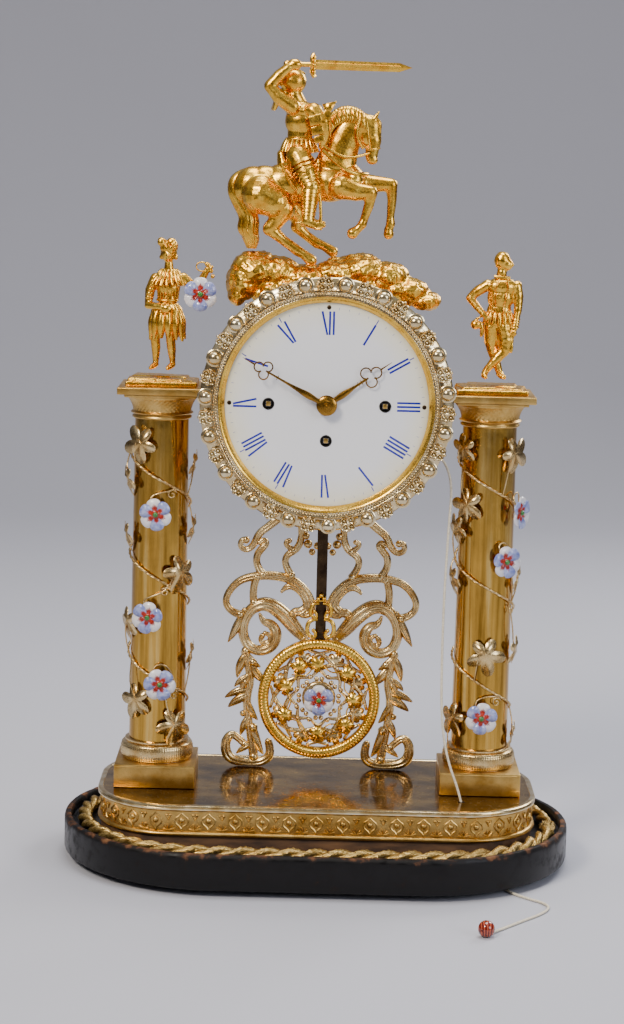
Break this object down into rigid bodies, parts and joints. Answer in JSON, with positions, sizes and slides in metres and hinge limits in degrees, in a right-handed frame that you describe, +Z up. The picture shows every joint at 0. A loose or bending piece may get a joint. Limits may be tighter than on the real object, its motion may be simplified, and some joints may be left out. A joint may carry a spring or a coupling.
{
  "type": "portico mantel clock",
  "caption": "Gilt portico mantel clock on an oval ebonised base: columns with figures carry a round striking clock drum above a swinging pendulum, with a pull cord to repeat the strike.",
  "frame": {"origin": "on the table under the middle of the oval base", "axes": "+Z up, -Y towards the viewer (dial side), +X to the viewer's right along the base"},
  "size_m": [0.31, 0.2539, 0.4882],
  "materials": {
    "ebonised_wood": "french polished, worn edges",
    "fire_gilt": "bright fire gilding",
    "pale_gilt": "pale matt gilding",
    "polished_brass": "polished, tarnished",
    "movement_brass": "grained and lacquered",
    "blued_steel": "polished",
    "steel": "polished",
    "gilt_thread": "twisted metal thread",
    "cotton_cord": "braided",
    "enamel": "fired glass enamel",
    "porcelain": "glazed and painted",
    "agate": "polished",
    "dark_bronze": "patinated"
  },
  "bodies": {
    "case": {"wood_base": "ebonised_wood", "base_feet": "ebonised_wood", "rope_trim": "gilt_thread", "platform_band": "fire_gilt", "platform_top": "polished_brass", "repeat_cord": "cotton_cord", "cord_bead": "agate", "cord_eyelet": "movement_brass", "plinth_blocks": "fire_gilt", "column_bases": "fire_gilt", "column_shaft_left": "polished_brass", "column_shaft_right": "polished_brass", "capitals": "fire_gilt", "abacus_plates": "fire_gilt", "column_tie_rods": "steel", "vine_left": "pale_gilt", "vine_right": "pale_gilt", "porcelain_flowers": "porcelain", "figure_left": "fire_gilt", "figure_right": "fire_gilt", "support_frame": "pale_gilt", "drum_bracket": "pale_gilt", "rock_mount": "fire_gilt", "horse": "fire_gilt", "rider": "fire_gilt", "sword": "pale_gilt", "drum_case": "polished_brass", "bezel": "pale_gilt", "dial": "enamel", "door_hinge_pin": "steel", "front_plate": "movement_brass", "back_plate": "movement_brass", "plate_pillars": "movement_brass", "gongs": "blued_steel", "gong_stand": "movement_brass", "suspension_cock": "movement_brass"},
    "minute_arbor": {"centre_wheel": "movement_brass", "cannon_pinion": "steel", "minute_hand": "fire_gilt"},
    "hour_pipe": {"hour_wheel": "movement_brass", "hour_hand": "fire_gilt"},
    "minute_wheel": {"minute_wheel": "movement_brass"},
    "third_wheel": {"third_wheel": "movement_brass"},
    "escape_wheel": {"escape_wheel": "movement_brass"},
    "anchor": {"pallet_anchor": "steel"},
    "pendulum": {"pendulum_rod": "dark_bronze", "pendulum_bob": "fire_gilt", "bob_flower": "porcelain"},
    "going_barrel": {"going_barrel": "movement_brass"},
    "hour_barrel": {"hour_barrel": "movement_brass"},
    "quarter_barrel": {"quarter_barrel": "movement_brass"},
    "going_arbor": {"going_winding_arbor": "steel"},
    "hour_arbor": {"hour_winding_arbor": "steel"},
    "quarter_arbor": {"quarter_winding_arbor": "steel"},
    "hour_pins": {"hour_pin_wheel": "movement_brass"},
    "quarter_pins": {"quarter_pin_wheel": "movement_brass"},
    "hour_hammer": {"hour_hammer": "steel"},
    "quarter_hammer": {"quarter_hammer": "steel"},
    "repeat_lever": {"repeat_lever": "steel"},
    "door": {"rear_door": "polished_brass"}
  },
  "joints": [
    {"name": "minute_arbor_turn", "type": "hinge", "parent": "case", "child": "minute_arbor", "pos_m": [0, 0, 0.2835], "axis": [0, 1, 0], "continuous": true},
    {"name": "hour_pipe_turn", "type": "hinge", "parent": "case", "child": "hour_pipe", "pos_m": [0, 0, 0.2835], "axis": [0, 1, 0], "continuous": true},
    {"name": "minute_wheel_turn", "type": "hinge", "parent": "case", "child": "minute_wheel", "pos_m": [0, 0, 0.2955], "axis": [0, 1, 0], "continuous": true},
    {"name": "third_wheel_turn", "type": "hinge", "parent": "case", "child": "third_wheel", "pos_m": [-0.00924, 0, 0.2995], "axis": [0, 1, 0], "continuous": true},
    {"name": "escape_wheel_turn", "type": "hinge", "parent": "case", "child": "escape_wheel", "pos_m": [0, 0, 0.31007], "axis": [0, 1, 0], "continuous": true},
    {"name": "going_barrel_turn", "type": "hinge", "parent": "case", "child": "going_barrel", "pos_m": [0, 0, 0.2622], "axis": [0, 1, 0], "continuous": true},
    {"name": "pendulum_swing", "type": "hinge", "parent": "case", "child": "pendulum", "pos_m": [0, 0.02, 0.32563], "axis": [0, 1, 0], "range_deg": [-3.5, 3.5]},
    {"name": "anchor_rock", "type": "hinge", "parent": "case", "child": "anchor", "pos_m": [0, 0, 0.32563], "axis": [0, 1, 0], "range_deg": [-3.6, 3.6]},
    {"name": "hour_barrel_turn", "type": "hinge", "parent": "case", "child": "hour_barrel", "pos_m": [-0.0345, 0, 0.2835], "axis": [0, 1, 0], "continuous": true},
    {"name": "hour_pins_turn", "type": "hinge", "parent": "case", "child": "hour_pins", "pos_m": [-0.04006, 0, 0.30062], "axis": [0, 1, 0], "continuous": true},
    {"name": "quarter_barrel_turn", "type": "hinge", "parent": "case", "child": "quarter_barrel", "pos_m": [0.0345, 0, 0.2835], "axis": [0, 1, 0], "continuous": true},
    {"name": "quarter_pins_turn", "type": "hinge", "parent": "case", "child": "quarter_pins", "pos_m": [0.04006, 0, 0.30062], "axis": [0, 1, 0], "continuous": true},
    {"name": "going_winding", "type": "hinge", "parent": "case", "child": "going_arbor", "pos_m": [0, 0, 0.2622], "axis": [0, 1, 0], "continuous": true},
    {"name": "hour_winding", "type": "hinge", "parent": "case", "child": "hour_arbor", "pos_m": [-0.0345, 0, 0.2835], "axis": [0, 1, 0], "continuous": true},
    {"name": "quarter_winding", "type": "hinge", "parent": "case", "child": "quarter_arbor", "pos_m": [0.0345, 0, 0.2835], "axis": [0, 1, 0], "continuous": true},
    {"name": "hour_hammer_lift", "type": "hinge", "parent": "case", "child": "hour_hammer", "pos_m": [-0.05, 0, 0.2695], "axis": [0, 1, 0], "range_deg": [0, 12]},
    {"name": "quarter_hammer_lift", "type": "hinge", "parent": "case", "child": "quarter_hammer", "pos_m": [0.05, 0, 0.2695], "axis": [0, -1, 0], "range_deg": [0, 12]},
    {"name": "repeat_lever_pull", "type": "hinge", "parent": "case", "child": "repeat_lever", "pos_m": [0.044, -0.012, 0.2565], "axis": [0, 1, 0], "range_deg": [0, 12]},
    {"name": "door_swing", "type": "hinge", "parent": "case", "child": "door", "pos_m": [0.0695, 0.0466, 0.2835], "axis": [0, 0, -1], "range_deg": [0, 110]}
  ],
  "couplings": [
    {"joint": "hour_pipe_turn", "follows": "minute_arbor_turn", "ratio": 0.083333},
    {"joint": "minute_wheel_turn", "follows": "minute_arbor_turn", "ratio": -0.33333},
    {"joint": "third_wheel_turn", "follows": "minute_arbor_turn", "ratio": -10},
    {"joint": "escape_wheel_turn", "follows": "minute_arbor_turn", "ratio": 120},
    {"joint": "going_barrel_turn", "follows": "minute_arbor_turn", "ratio": -0.11111},
    {"joint": "anchor_rock", "follows": "pendulum_swing", "ratio": 1},
    {"joint": "hour_pins_turn", "follows": "hour_barrel_turn", "ratio": -8},
    {"joint": "quarter_pins_turn", "follows": "quarter_barrel_turn", "ratio": -8}
  ]
}
